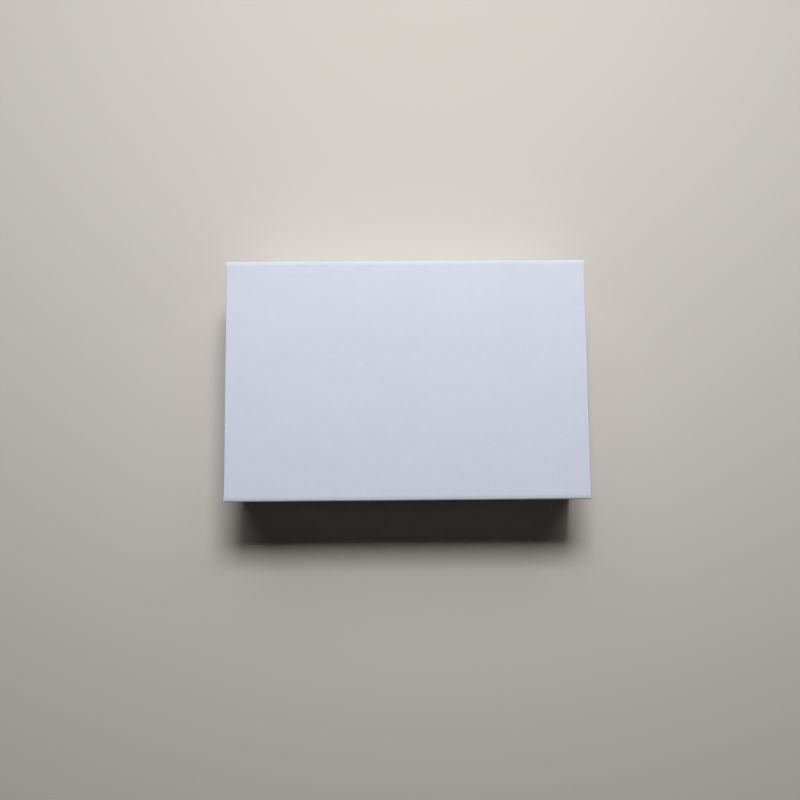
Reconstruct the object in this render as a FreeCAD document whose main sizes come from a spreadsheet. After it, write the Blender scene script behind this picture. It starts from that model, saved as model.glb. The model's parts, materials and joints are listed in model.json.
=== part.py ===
import FreeCAD, Part
import math
import os
import re

import Sketcher

# A magnetic book-style gift box for jewelry, closed, in millimetres.
# +Z is up, +X runs along the long side and the flap closes the front, at -Y.
# The origin is the centre of the underside. Every panel is greyboard covered in paper.

doc = FreeCAD.newDocument("JewelryGiftBox")

# ---- Driving sizes: one plain number to a cell, each with an alias ----

SIZES = {
    # closed box, outside
    "boxWidth": 180.0,
    "boxDepth": 120.0,
    "boxHeight": 50.0,
    # sheet goods
    "boardThickness": 2.0,
    "paperThickness": 0.2,
    "tapeThickness": 0.1,
    # book-style case
    "foldSlack": 0.4,
    "sideOverhang": 2.5,
    "caseTurnIn": 15.0,
    "linerMargin": 3.0,
    "flapClearance": 0.3,
    "rimClearance": 0.3,
    "footGap": 0.6,
    # tray
    "rimTurnIn": 24.0,
    "floorTurnIn": 14.0,
    "tapeReach": 15.0,
    # closure
    "magnetRadius": 6.0,
    "magnetThickness": 1.2,
    "plateThickness": 0.8,
    "magnetSpacing": 96.0,
    "magnetHeight": 15.0,
    "pocketClearance": 0.1,
    # insert
    "deckBelowRim": 15.5,
    "insertClearance": 0.6,
    "velvetThickness": 0.6,
    "baseCardThickness": 1.0,
    "slitDepth": 14.0,
    "ringSlotLength": 32.0,
    "ringSlotWidth": 2.4,
    "ringSlotForward": 12.0,
    "earringSlitLength": 9.0,
    "earringSpacing": 44.0,
    "earringBack": 14.0,
    "necklaceSlitLength": 14.0,
    "necklaceSpacing": 118.0,
    "necklaceBack": 38.0,
    "knifeSlitWidth": 1.2,
    # ribbon
    "ribbonWidth": 12.0,
    "ribbonThickness": 0.3,
    "ribbonUnderInsert": 22.0,
    "tabLength": 12.5,
    "tabLift": 0.3,
    "tabWallGap": 1.0,
    # pad inside the cover
    "padMargin": 7.0,
    "padCardThickness": 1.0,
    "padThickness": 3.0,
    "padEdgeRadius": 1.2,
}

# Places and sizes worked out from the driving ones
DERIVED = {
    # outer planes of the closed case
    "sideX": "boxWidth / 2",
    "backY": "boxDepth / 2",
    "frontY": "0 - boxDepth / 2",
    # one case panel, from its outer face inwards: wrap, board, turn-in, liner
    "boardOut": "paperThickness",
    "boardIn": "boardOut + boardThickness",
    "turnIn": "boardIn + paperThickness",
    "linerIn": "turnIn + paperThickness",
    "boardSideX": "sideX - paperThickness",
    "turnInX": "sideX - caseTurnIn",
    "linerX": "sideX - linerMargin",
    # outer radius of a fold, wide enough for the two panels beside it to clear each other
    "foldRadius": "linerIn + foldSlack",
    # where the flat panels stop and the paper folds start
    "foldBackY": "backY - foldRadius",
    "foldFrontY": "frontY + foldRadius",
    "foldTopZ": "boxHeight - foldRadius",
    # tray, outside of its wrap
    "trayX": "sideX - sideOverhang",
    "trayFrontY": "frontY + linerIn + flapClearance",
    "trayBackY": "backY - linerIn",
    "trayMidY": "(trayFrontY + trayBackY) / 2",
    "trayBottomZ": "turnIn",
    "rimZ": "boxHeight - linerIn - rimClearance",
    # tray boards, inside the wrap and the corner tape
    "skin": "paperThickness + tapeThickness",
    "wallX": "trayX - skin",
    "wallFrontY": "trayFrontY + skin",
    "wallBackY": "trayBackY - skin",
    "wallBottomZ": "trayBottomZ + paperThickness",
    "wallTopZ": "rimZ - paperThickness",
    "wallInX": "wallX - boardThickness",
    "wallInFrontY": "wallFrontY + boardThickness",
    "wallInBackY": "wallBackY - boardThickness",
    "floorTopZ": "wallBottomZ + boardThickness",
    # clear opening of the tray, inside the turned-in paper
    "openX": "wallInX - paperThickness",
    "openFrontY": "wallInFrontY + paperThickness",
    "openBackY": "wallInBackY - paperThickness",
    "rimTurnInZ": "rimZ - rimTurnIn",
    # insert
    "insertX": "openX - insertClearance",
    "insertFrontY": "openFrontY + insertClearance",
    "insertBackY": "openBackY - insertClearance",
    "insertMidY": "(insertFrontY + insertBackY) / 2",
    "linerTopZ": "floorTopZ + paperThickness",
    "insertBottomZ": "linerTopZ + ribbonThickness",
    "deckZ": "rimZ - deckBelowRim",
    # round of the ribbon where it is folded back at the end of the tab
    "tabFoldRadius": "ribbonThickness * 0.9",
    # cover, inside face of its liner
    "coverInZ": "boxHeight - linerIn",
    "padX": "openX - padMargin",
    "padHalfY": "(openBackY - openFrontY) / 2 - padMargin",
}


def makeSizes():
    sheet = doc.addObject("Spreadsheet::Sheet", "Sizes")
    for row, (alias, value) in enumerate(SIZES.items(), start=1):
        sheet.set("A%d" % row, alias)
        sheet.set("B%d" % row, str(value))
        sheet.setAlias("B%d" % row, alias)
    doc.recompute()


makeSizes()


def sized(text):
    """The expression, with derived names spelt out and driving names read from the sheet."""

    def spell(match):
        word = match.group(0)
        if word in DERIVED:
            return "(" + sized(DERIVED[word]) + ")"
        return "Sizes." + word if word in SIZES else word

    return re.sub(r"[A-Za-z]+", spell, text)


def mirrored(text):
    return ("0 - (" + text + ")", text)


# ---- Ways of making a piece ----

sameLevel = 0.001  # two faces or edges closer than this lie on one plane


def addBox(name, x, y, z):
    """A block between two planes along each axis; each plane is an expression."""
    box = doc.addObject("Part::Box", name)
    sides = {"Length": x, "Width": y, "Height": z}
    for side, (low, high) in sides.items():
        box.setExpression(side, sized("(" + high + ") - (" + low + ")"))
    for axis, (low, high) in zip("xyz", (x, y, z)):
        box.setExpression("Placement.Base." + axis, sized(low))
    return box


def cut(name, base, *tools):
    """Base without the tools, which are joined first when there are several."""
    tool = tools[0]
    if len(tools) > 1:
        tool = doc.addObject("Part::MultiFuse", name + "_tools")
        tool.Shapes = list(tools)
    made = doc.addObject("Part::Cut", name)
    made.Base = base
    made.Tool = tool
    return made


def newBody(name, x="0", y="0", z="0"):
    body = doc.addObject("PartDesign::Body", name)
    for axis, value in zip("xyz", (x, y, z)):
        body.setExpression("Placement.Base." + axis, sized(value))
    return body


def newSketch(body, role, name):
    plane = [f for f in body.Origin.OriginFeatures if f.Role == role][0]
    sketch = body.newObject("Sketcher::SketchObject", name)
    sketch.AttachmentSupport = [(plane, "")]
    sketch.MapMode = "FlatFace"
    return sketch


def dimension(sketch, name, constraint, text):
    index = sketch.addConstraint(constraint)
    sketch.renameConstraint(index, name)
    sketch.setExpression("Constraints." + name, sized(text))


def addRectangle(sketch, width, height):
    """A rectangle centred on the sketch's origin."""
    corners = [(-1, -1), (1, -1), (1, 1), (-1, 1)]
    points = [FreeCAD.Vector(10 * x, 5 * y, 0) for x, y in corners]
    for start, end in zip(points, points[1:] + points[:1]):
        sketch.addGeometry(Part.LineSegment(start, end), False)
    for line in range(4):
        sketch.addConstraint(Sketcher.Constraint("Coincident", line, 2, (line + 1) % 4, 1))
    for line, direction in enumerate(["Horizontal", "Vertical", "Horizontal", "Vertical"]):
        sketch.addConstraint(Sketcher.Constraint(direction, line))
    sketch.addConstraint(Sketcher.Constraint("Symmetric", 0, 1, 2, 1, -1, 1))
    dimension(sketch, "Across", Sketcher.Constraint("DistanceX", 0, 1, 0, 2, 20.0), width)
    dimension(sketch, "Up", Sketcher.Constraint("DistanceY", 1, 1, 1, 2, 10.0), height)


def addPad(body, sketch, name, length, backwards=False):
    pad = body.newObject("PartDesign::Pad", name)
    pad.Profile = sketch
    pad.setExpression("Length", sized(length))
    pad.Reversed = backwards
    body.Tip = pad
    return pad


def addMagnetPockets(body, name, fromMiddle, depth, backwards):
    """Two round recesses, as far apart as the magnets, cut from the sketch plane."""
    sketch = newSketch(body, "XZ_Plane", name + "_sketch")
    for circle, side in enumerate([-1, 1]):
        centre = FreeCAD.Vector(40 * side, -5, 0)
        sketch.addGeometry(Part.Circle(centre, FreeCAD.Vector(0, 0, 1), 6), False)
    sketch.addConstraint(Sketcher.Constraint("Equal", 0, 1))
    sketch.addConstraint(Sketcher.Constraint("Symmetric", 0, 3, 1, 3, -2))
    dimension(
        sketch, "Spacing", Sketcher.Constraint("DistanceX", 0, 3, 1, 3, 80.0), "magnetSpacing"
    )
    dimension(sketch, "Drop", Sketcher.Constraint("DistanceY", 0, 3, -1, 1, 5.0), fromMiddle)
    dimension(
        sketch, "Size", Sketcher.Constraint("Radius", 0, 6.0), "magnetRadius + pocketClearance"
    )
    pocket = body.newObject("PartDesign::Pocket", name)
    pocket.Profile = sketch
    pocket.setExpression("Length", sized(depth))
    pocket.Reversed = backwards
    body.Tip = pocket


def addDiscPair(name, frontFace, thickness):
    """Two equal discs whose axes run along Y, with their front faces on one plane."""
    discs = []
    for side, sign in (("left", "0 - "), ("right", "")):
        disc = doc.addObject("Part::Cylinder", name + "_" + side)
        disc.setExpression("Radius", sized("magnetRadius"))
        disc.setExpression("Height", sized(thickness))
        disc.Placement.Rotation = FreeCAD.Rotation(FreeCAD.Vector(1, 0, 0), -90)
        disc.setExpression("Placement.Base.x", sized(sign + "magnetSpacing / 2"))
        disc.setExpression("Placement.Base.y", sized(frontFace))
        disc.setExpression("Placement.Base.z", sized("magnetHeight"))
        discs.append(disc)
    pair = doc.addObject("Part::Compound", name)
    pair.Links = discs
    return pair


def addFoldPaper(name, y, z, firstQuarter):
    """A quarter ring of paper, two sheets thick, along the whole width; y and z place its axis."""
    body = newBody(name, "0 - sideX", y, z)
    sketch = newSketch(body, "YZ_Plane", name + "_sketch")
    quarter = math.pi / 2
    start = firstQuarter * quarter
    end = start + quarter
    middle = FreeCAD.Vector(0, 0, 0)
    up = FreeCAD.Vector(0, 0, 1)
    for radius in (3.0, 2.0):
        sketch.addGeometry(Part.ArcOfCircle(Part.Circle(middle, up, radius), start, end), False)
    for point in (1, 2):
        outer = sketch.getPoint(0, point)
        inner = sketch.getPoint(1, point)
        sketch.addGeometry(Part.LineSegment(outer, inner), False)
        line = point + 1
        sketch.addConstraint(Sketcher.Constraint("Coincident", 0, point, line, 1))
        sketch.addConstraint(Sketcher.Constraint("Coincident", 1, point, line, 2))
        liesFlat = (firstQuarter + point) % 2 == 1
        axis = -1 if liesFlat else -2
        sketch.addConstraint(Sketcher.Constraint("PointOnObject", 0, point, axis))
        sketch.addConstraint(Sketcher.Constraint("PointOnObject", 1, point, axis))
    for arc in (0, 1):
        sketch.addConstraint(Sketcher.Constraint("Coincident", arc, 3, -1, 1))
    dimension(sketch, "Outside", Sketcher.Constraint("Radius", 0, 3.0), "foldRadius")
    dimension(
        sketch, "Inside", Sketcher.Constraint("Radius", 1, 2.0), "foldRadius - 2 * paperThickness"
    )
    addPad(body, sketch, name + "_pad", "boxWidth")
    return body


pieces = []


def keep(piece):
    """Makes this object a sub-part: its label names its file."""
    piece.Label = piece.Name
    pieces.append(piece)
    return piece


SPARE = "1"  # how far a cutting block runs past an open side

# ---- Case: base panel and spine, fixed to the tray ----


def makeCaseBase():
    boards = mirrored("boardSideX")
    outsides = mirrored("sideX")
    windows = mirrored("turnInX")
    bottomY = ("trayFrontY", "foldBackY")
    bottomBoardY = ("trayFrontY + paperThickness", "foldBackY")
    keep(addBox("case_bottom_board", boards, bottomBoardY, ("boardOut", "boardIn")))
    # The wrap turns in over the front and side edges, and runs on into the fold at the back.
    pastBack = "foldBackY + " + SPARE
    sheet = addBox("bottom_wrap_outside", outsides, bottomY, ("0", "turnIn"))
    board = addBox(
        "bottom_wrap_board", boards, (bottomBoardY[0], pastBack), ("boardOut", "boardIn")
    )
    window = addBox(
        "bottom_wrap_window", windows, ("trayFrontY + caseTurnIn", pastBack),
        ("boardIn", "turnIn + " + SPARE)
    )
    keep(cut("case_wrap_bottom", sheet, board, window))

    spineZ = ("foldRadius", "foldTopZ")
    spineBoardY = ("backY - boardIn", "backY - boardOut")
    pastEnds = ("foldRadius - " + SPARE, "foldTopZ + " + SPARE)
    keep(addBox("case_spine_board", boards, spineBoardY, spineZ))
    sheet = addBox("spine_wrap_outside", outsides, ("backY - turnIn", "backY"), spineZ)
    board = addBox("spine_wrap_board", boards, spineBoardY, pastEnds)
    window = addBox(
        "spine_wrap_window", windows, ("backY - turnIn - " + SPARE, "backY - boardIn"), pastEnds
    )
    keep(cut("case_wrap_spine", sheet, board, window))
    keep(
        addBox("spine_liner", mirrored("linerX"), ("backY - linerIn", "backY - turnIn"), spineZ)
    )
    keep(addFoldPaper("bottom_fold_paper", "foldBackY", "foldRadius", 3))


makeCaseBase()

# ---- Tray: five boards taped at the corners and wrapped in one sheet ----


def makeTrayBoards():
    wallZ = ("wallBottomZ", "wallTopZ")
    betweenY = ("wallInFrontY", "wallInBackY")
    keep(
        addBox("tray_floor_board", mirrored("wallInX"), betweenY, ("wallBottomZ", "floorTopZ"))
    )
    keep(
        addBox("tray_floor_liner", mirrored("wallInX"), betweenY, ("floorTopZ", "linerTopZ"))
    )
    keep(addBox("tray_back_board", mirrored("wallX"), ("wallInBackY", "wallBackY"), wallZ))
    keep(addBox("tray_left_board", ("0 - wallX", "0 - wallInX"), betweenY, wallZ))
    keep(addBox("tray_right_board", ("wallInX", "wallX"), betweenY, wallZ))
    # The front board has two shallow recesses in its outer face for the steel plates.
    middleZ = "(wallBottomZ + wallTopZ) / 2"
    front = newBody("tray_front_board", "0", "wallFrontY", middleZ)
    sketch = newSketch(front, "XZ_Plane", "tray_front_outline")
    addRectangle(sketch, "2 * wallX", "wallTopZ - wallBottomZ")
    addPad(front, sketch, "tray_front_pad", "boardThickness", backwards=True)
    addMagnetPockets(
        front, "tray_front_pockets", middleZ + " - magnetHeight", "plateThickness", False
    )
    keep(front)
    keep(addDiscPair("strike_plates", "wallFrontY", "plateThickness"))


def makeCornerTapes():
    """Four L-shaped strips of tape over the outside corners of the boards."""
    wallZ = ("wallBottomZ", "wallTopZ")
    pastZ = ("wallBottomZ - " + SPARE, "wallTopZ + " + SPARE)
    tapeX = "wallX + tapeThickness"
    tapeY = ("wallFrontY - tapeThickness", "wallBackY + tapeThickness")
    outside = addBox("tape_outside", mirrored(tapeX), tapeY, wallZ)
    inside = addBox("tape_inside", mirrored("wallX"), ("wallFrontY", "wallBackY"), pastZ)
    alongX = addBox(
        "tape_gap_x", mirrored("wallX - tapeReach"),
        (tapeY[0] + " - " + SPARE, tapeY[1] + " + " + SPARE), pastZ
    )
    alongY = addBox(
        "tape_gap_y", mirrored(tapeX + " + " + SPARE),
        ("wallFrontY + tapeReach", "wallBackY - tapeReach"), pastZ
    )
    keep(cut("tray_corner_tapes", outside, inside, alongX, alongY))


def makeTrayWrap():
    """Paper over the outside, over the rim, down the inside and under the floor's edge."""
    skinX = mirrored("trayX - paperThickness")
    skinY = ("trayFrontY + paperThickness", "trayBackY - paperThickness")
    outside = addBox(
        "tray_wrap_outside", mirrored("trayX"), ("trayFrontY", "trayBackY"),
        ("trayBottomZ", "rimZ")
    )
    lower = addBox("tray_wrap_lower", skinX, skinY, ("wallBottomZ", "rimTurnInZ"))
    upper = addBox("tray_wrap_upper", skinX, skinY, ("rimTurnInZ", "wallTopZ"))
    core = addBox(
        "tray_wrap_core", mirrored("wallInX"), ("wallInFrontY", "wallInBackY"),
        ("rimTurnInZ - " + SPARE, "wallTopZ + " + SPARE)
    )
    walls = cut("tray_wrap_walls", upper, core)
    hollow = addBox(
        "tray_wrap_hollow", mirrored("openX"), ("openFrontY", "openBackY"),
        ("rimTurnInZ - " + SPARE, "rimZ + " + SPARE)
    )
    window = addBox(
        "tray_wrap_window", mirrored("trayX - floorTurnIn"),
        ("trayFrontY + floorTurnIn", "trayBackY - floorTurnIn"),
        ("trayBottomZ - " + SPARE, "wallBottomZ + " + SPARE)
    )
    keep(cut("tray_wrap", outside, lower, walls, hollow, window))


makeTrayBoards()
makeCornerTapes()
makeTrayWrap()

# ---- Insert: foam on a card, covered in velvet, with slits for the jewelry ----


def addSlit(name, x, y, length, width, turn):
    """A knife cut down from the deck, centred at x, y and turned about Z."""
    slit = doc.addObject("Part::Box", name)
    slit.setExpression("Length", sized(length))
    slit.setExpression("Width", sized(width))
    slit.setExpression("Height", sized("slitDepth + " + SPARE))
    slit.Placement.Rotation = FreeCAD.Rotation(FreeCAD.Vector(0, 0, 1), turn)
    along = "(" + length + ") / 2"
    across = "(" + width + ") / 2"
    cosine = "cos(%g)" % turn
    sine = "sin(%g)" % turn
    slit.setExpression(
        "Placement.Base.x", sized("%s - %s * %s + %s * %s" % (x, along, cosine, across, sine))
    )
    slit.setExpression(
        "Placement.Base.y", sized("%s - %s * %s - %s * %s" % (y, along, sine, across, cosine))
    )
    slit.setExpression("Placement.Base.z", sized("deckZ - slitDepth"))
    return slit


def makeInsert():
    slits = doc.addObject("Part::MultiFuse", "insert_slits")
    ring = addSlit(
        "ring_slot", "0", "insertMidY - ringSlotForward", "ringSlotLength", "ringSlotWidth", 0
    )
    tools = [ring]
    for side, sign in (("left", "0 - "), ("right", "0 + ")):
        tools.append(
            addSlit(
                "earring_slit_" + side, sign + "earringSpacing / 2", "insertMidY + earringBack",
                "earringSlitLength", "knifeSlitWidth", 90
            )
        )
        tools.append(
            addSlit(
                "necklace_slit_" + side, sign + "necklaceSpacing / 2",
                "insertMidY + necklaceBack", "necklaceSlitLength", "knifeSlitWidth",
                45 if side == "left" else -45
            )
        )
    slits.Shapes = tools

    foamX = mirrored("insertX - velvetThickness")
    foamY = ("insertFrontY + velvetThickness", "insertBackY - velvetThickness")
    cardZ = ("insertBottomZ", "insertBottomZ + baseCardThickness")
    foamZ = (cardZ[1], "deckZ - velvetThickness")
    keep(addBox("insert_base_card", foamX, foamY, cardZ))
    foam = addBox("foam_block", foamX, foamY, foamZ)
    keep(cut("insert_foam", foam, slits))
    cover = addBox(
        "velvet_outside", mirrored("insertX"), ("insertFrontY", "insertBackY"),
        ("insertBottomZ", "deckZ")
    )
    inside = addBox(
        "velvet_inside", foamX, foamY, ("insertBottomZ - " + SPARE, foamZ[1])
    )
    keep(cut("insert_velvet", cover, inside, slits))


makeInsert()

# ---- Ribbon: one strap up the front of the insert, and a tab that lies on the deck ----


def makeRibbon():
    halfWidth = "ribbonWidth / 2"
    wallGap = "(insertClearance - ribbonThickness) / 2"
    strapY = "insertFrontY - " + wallGap
    upright = addBox(
        "ribbon_upright", mirrored(halfWidth), (strapY + " - ribbonThickness", strapY),
        ("linerTopZ", "deckZ")
    )
    foot = addBox(
        "ribbon_foot", mirrored(halfWidth), (strapY + " - ribbonThickness",
        strapY + " + ribbonUnderInsert"), ("linerTopZ", "insertBottomZ")
    )
    strap = doc.addObject("Part::Fuse", "pull_ribbon_strap")
    strap.Base = upright
    strap.Tool = foot
    strap.Refine = True
    keep(strap)

    # The tab is the ribbon folded double, so it is two layers thick with a rounded end.
    tab = newBody(
        "pull_ribbon_tab", "0", "openFrontY + tabWallGap + tabLength / 2", "deckZ + tabLift"
    )
    sketch = newSketch(tab, "XY_Plane", "ribbon_tab_outline")
    addRectangle(sketch, "ribbonWidth", "tabLength")
    pad = addPad(tab, sketch, "ribbon_tab_pad", "2 * ribbonThickness")
    doc.recompute()
    far = [
        "Edge%d" % (i + 1)
        for i, edge in enumerate(pad.Shape.Edges)
        if abs(edge.BoundBox.YMin - pad.Shape.BoundBox.YMax) < sameLevel
        and edge.BoundBox.XLength > 1
    ]
    fold = tab.newObject("PartDesign::Fillet", "ribbon_tab_fold")
    fold.Base = (pad, far)
    fold.setExpression("Radius", sized("tabFoldRadius"))
    tab.Tip = fold
    keep(tab)


makeRibbon()

# ---- Cover: board, wrap, liner and a soft pad ----


def makeCover():
    flatY = ("foldFrontY", "foldBackY")
    pastY = ("foldFrontY - " + SPARE, "foldBackY + " + SPARE)
    boardZ = ("boxHeight - boardIn", "boxHeight - boardOut")
    keep(addBox("cover_board", mirrored("boardSideX"), flatY, boardZ))
    sheet = addBox(
        "cover_wrap_outside", mirrored("sideX"), flatY, ("boxHeight - turnIn", "boxHeight")
    )
    board = addBox("cover_wrap_board", mirrored("boardSideX"), pastY, boardZ)
    window = addBox(
        "cover_wrap_window", mirrored("turnInX"), pastY,
        ("boxHeight - turnIn - " + SPARE, "boxHeight - boardIn")
    )
    keep(cut("cover_wrap", sheet, board, window))
    keep(
        addBox("cover_liner", mirrored("linerX"), flatY, ("coverInZ", "boxHeight - turnIn"))
    )


def makeCoverPad():
    padY = ("trayMidY - padHalfY", "trayMidY + padHalfY")
    keep(
        addBox("cover_pad_card", mirrored("padX"), padY, ("coverInZ - padCardThickness", "coverInZ"))
    )
    pad = newBody("cover_pad_cushion", "0", "trayMidY", "coverInZ - padCardThickness")
    sketch = newSketch(pad, "XY_Plane", "cover_pad_outline")
    addRectangle(sketch, "2 * padX", "2 * padHalfY")
    block = addPad(pad, sketch, "cover_pad_block", "padThickness", backwards=True)
    doc.recompute()
    low = [
        "Edge%d" % (i + 1)
        for i, edge in enumerate(block.Shape.Edges)
        if edge.BoundBox.ZMax < block.Shape.BoundBox.ZMin + sameLevel
    ]
    rounding = pad.newObject("PartDesign::Fillet", "cover_pad_rounding")
    rounding.Base = (block, low)
    rounding.setExpression("Radius", sized("padEdgeRadius"))
    pad.Tip = rounding
    keep(pad)


makeCover()
makeCoverPad()

# ---- Flap: board with two magnets, wrap and liner ----


def makeFlap():
    edgeZ = "footGap"
    boardBottomZ = "footGap + paperThickness"
    boardY = ("frontY + boardOut", "frontY + boardIn")
    middleZ = "(" + boardBottomZ + " + foldTopZ) / 2"
    # Two round recesses in the inner face hold the magnets.
    flap = newBody("flap_board", "0", boardY[1], middleZ)
    sketch = newSketch(flap, "XZ_Plane", "flap_outline")
    addRectangle(sketch, "2 * boardSideX", "foldTopZ - (" + boardBottomZ + ")")
    addPad(flap, sketch, "flap_pad", "boardThickness")
    addMagnetPockets(
        flap, "flap_pockets", middleZ + " - magnetHeight", "magnetThickness", True
    )
    keep(flap)
    keep(addDiscPair("flap_magnets", "frontY + boardIn - magnetThickness", "magnetThickness"))
    pastTop = "foldTopZ + " + SPARE
    sheet = addBox(
        "flap_wrap_outside", mirrored("sideX"), ("frontY", "frontY + turnIn"),
        (edgeZ, "foldTopZ")
    )
    board = addBox("flap_wrap_board", mirrored("boardSideX"), boardY, (boardBottomZ, pastTop))
    window = addBox(
        "flap_wrap_window", mirrored("turnInX"),
        ("frontY + boardIn", "frontY + turnIn + " + SPARE), (edgeZ + " + caseTurnIn", pastTop)
    )
    keep(cut("flap_wrap", sheet, board, window))
    keep(
        addBox(
            "flap_liner", mirrored("linerX"), ("frontY + turnIn", "frontY + linerIn"),
            (edgeZ + " + linerMargin", "foldTopZ")
        )
    )


makeFlap()

# ---- Hinges: the folded paper between spine and cover, and between cover and flap ----

keep(addFoldPaper("back_hinge_paper", "foldBackY", "foldTopZ", 0))
keep(addFoldPaper("front_hinge_paper", "foldFrontY", "foldTopZ", 1))

# ---- Check and write ----


def checkDocument():
    doc.recompute()
    for thing in doc.Objects:
        bad = [word for word in thing.State if word in ("Invalid", "Error")]
        if bad:
            raise RuntimeError("%s is %s" % (thing.Name, bad))
    for piece in pieces:
        if piece.Shape.isNull() or not piece.Shape.isValid() or not piece.Shape.Solids:
            raise RuntimeError("%s has no valid solid" % piece.Label)


def writePieces():
    os.makedirs("parts", exist_ok=True)
    for piece in pieces:
        piece.Shape.exportStep(os.path.join("parts", piece.Label + ".step"))
        size = piece.Shape.BoundBox
        print(
            "%-20s %d solid(s) %10.1f mm3  x %6.2f %6.2f  y %6.2f %6.2f  z %6.2f %6.2f"
            % (
                piece.Label, len(piece.Shape.Solids), piece.Shape.Volume,
                size.XMin, size.XMax, size.YMin, size.YMax, size.ZMin, size.ZMax,
            )
        )


checkDocument()
writePieces()
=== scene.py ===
import json
import math
from itertools import pairwise, product

import bmesh
import bpy
from mathutils import Euler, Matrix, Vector


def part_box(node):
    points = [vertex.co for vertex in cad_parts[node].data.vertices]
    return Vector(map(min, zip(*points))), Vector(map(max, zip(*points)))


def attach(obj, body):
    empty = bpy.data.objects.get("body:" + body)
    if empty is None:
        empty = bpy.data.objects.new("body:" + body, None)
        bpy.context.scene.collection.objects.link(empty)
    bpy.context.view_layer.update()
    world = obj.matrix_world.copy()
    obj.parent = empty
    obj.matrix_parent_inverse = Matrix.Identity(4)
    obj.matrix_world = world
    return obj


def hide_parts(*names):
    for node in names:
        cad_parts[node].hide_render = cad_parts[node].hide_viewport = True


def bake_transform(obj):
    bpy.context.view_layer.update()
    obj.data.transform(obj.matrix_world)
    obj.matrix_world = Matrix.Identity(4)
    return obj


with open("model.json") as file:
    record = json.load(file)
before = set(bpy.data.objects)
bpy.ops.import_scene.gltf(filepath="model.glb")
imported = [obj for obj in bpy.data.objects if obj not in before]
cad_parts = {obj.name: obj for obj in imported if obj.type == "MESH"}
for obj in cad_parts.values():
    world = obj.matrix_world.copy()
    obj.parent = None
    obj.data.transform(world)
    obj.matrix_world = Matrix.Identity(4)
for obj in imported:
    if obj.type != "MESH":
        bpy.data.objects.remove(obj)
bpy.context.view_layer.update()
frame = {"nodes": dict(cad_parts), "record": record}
mm = 0.001
print("frame loaded:", len(frame["nodes"]), "nodes")


def edges(node):
    # lowest and highest corner of a CAD node, in millimetres
    low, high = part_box(node)
    return Vector(low) / mm, Vector(high) / mm


def newMaterial(name, roughness, **sockets):
    material = bpy.data.materials.new(name)
    material.use_nodes = True
    tree = material.node_tree
    shader = tree.nodes["Principled BSDF"]
    shader.inputs["Roughness"].default_value = roughness
    for socket, value in sockets.items():
        shader.inputs[socket.replace("_", " ")].default_value = value
    return material, tree, shader


def noiseLayer(tree, size, stretch=(1, 1, 1), detail=3.0, distortion=0.0):
    # a noise whose features are about size millimetres, longer along the stretched axes
    place = tree.nodes.new("ShaderNodeTexCoord")
    mapping = tree.nodes.new("ShaderNodeMapping")
    mapping.inputs["Scale"].default_value = [1 / part for part in stretch]
    texture = tree.nodes.new("ShaderNodeTexNoise")
    texture.inputs["Scale"].default_value = 1 / (size * mm)
    texture.inputs["Detail"].default_value = detail
    texture.inputs["Distortion"].default_value = distortion
    tree.links.new(place.outputs["Object"], mapping.inputs["Vector"])
    tree.links.new(mapping.outputs["Vector"], texture.inputs["Vector"])
    return texture.outputs["Fac"]


def waveLayer(tree, size, direction, distortion=0.0):
    # fine parallel ribs, size millimetres apart
    place = tree.nodes.new("ShaderNodeTexCoord")
    texture = tree.nodes.new("ShaderNodeTexWave")
    texture.bands_direction = direction
    texture.inputs["Scale"].default_value = 2 * math.pi / (20 * size * mm)
    texture.inputs["Distortion"].default_value = distortion
    tree.links.new(place.outputs["Object"], texture.inputs["Vector"])
    return texture.outputs["Fac"]


def combine(tree, operation, first, second):
    node = tree.nodes.new("ShaderNodeMath")
    node.operation = operation
    for socket, value in zip(node.inputs, (first, second)):
        if isinstance(value, (int, float)):
            socket.default_value = value
        else:
            tree.links.new(value, socket)
    return node.outputs[0]


def colourRange(tree, factor, stops):
    ramp = tree.nodes.new("ShaderNodeValToRGB")
    marks = ramp.color_ramp.elements
    while len(marks) < len(stops):
        marks.new(0.5)
    for mark, (place, colour) in zip(marks, stops):
        mark.position = place
        mark.color = (*colour, 1)
    tree.links.new(factor, ramp.inputs["Fac"])
    return ramp.outputs["Color"]


def valueRange(tree, factor, low, high):
    node = tree.nodes.new("ShaderNodeMapRange")
    node.inputs["To Min"].default_value = low
    node.inputs["To Max"].default_value = high
    tree.links.new(factor, node.inputs["Value"])
    return node.outputs["Result"]


def relief(tree, shader, height, depth):
    # raises the surface by up to depth millimetres where height is 1
    bump = tree.nodes.new("ShaderNodeBump")
    bump.inputs["Distance"].default_value = depth * mm
    tree.links.new(height, bump.inputs["Height"])
    tree.links.new(bump.outputs["Normal"], shader.inputs["Normal"])


def mixLayers(tree, first, second, share):
    # this share of the first layer, and the rest of the second
    return combine(tree, "ADD", combine(tree, "MULTIPLY", first, share),
                   combine(tree, "MULTIPLY", second, 1 - share))


def twoShades(tree, shader, factor, look, low=0.3, high=0.7):
    # colours the surface from a darker to a lighter shade of the look's colour
    dark, light = [tuple(min(1, part * (1 + sign * look["spread"])) for part in look["colour"])
                   for sign in (-1, 1)]
    colour = colourRange(tree, factor, [(low, dark), (high, light)])
    tree.links.new(colour, shader.inputs["Base Color"])


def varyRoughness(tree, shader, factor, low, high):
    tree.links.new(valueRange(tree, factor, low, high), shader.inputs["Roughness"])


coverPaperLook = {
    "colour": (0.730, 0.750, 0.812),
    "spread": 0.030,
    "fibreSize": 1.1,
    "grainSize": 0.28,
    "cloudSize": 38,
    "roughness": (0.66, 0.78),
    "relief": 0.022,
}


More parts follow.
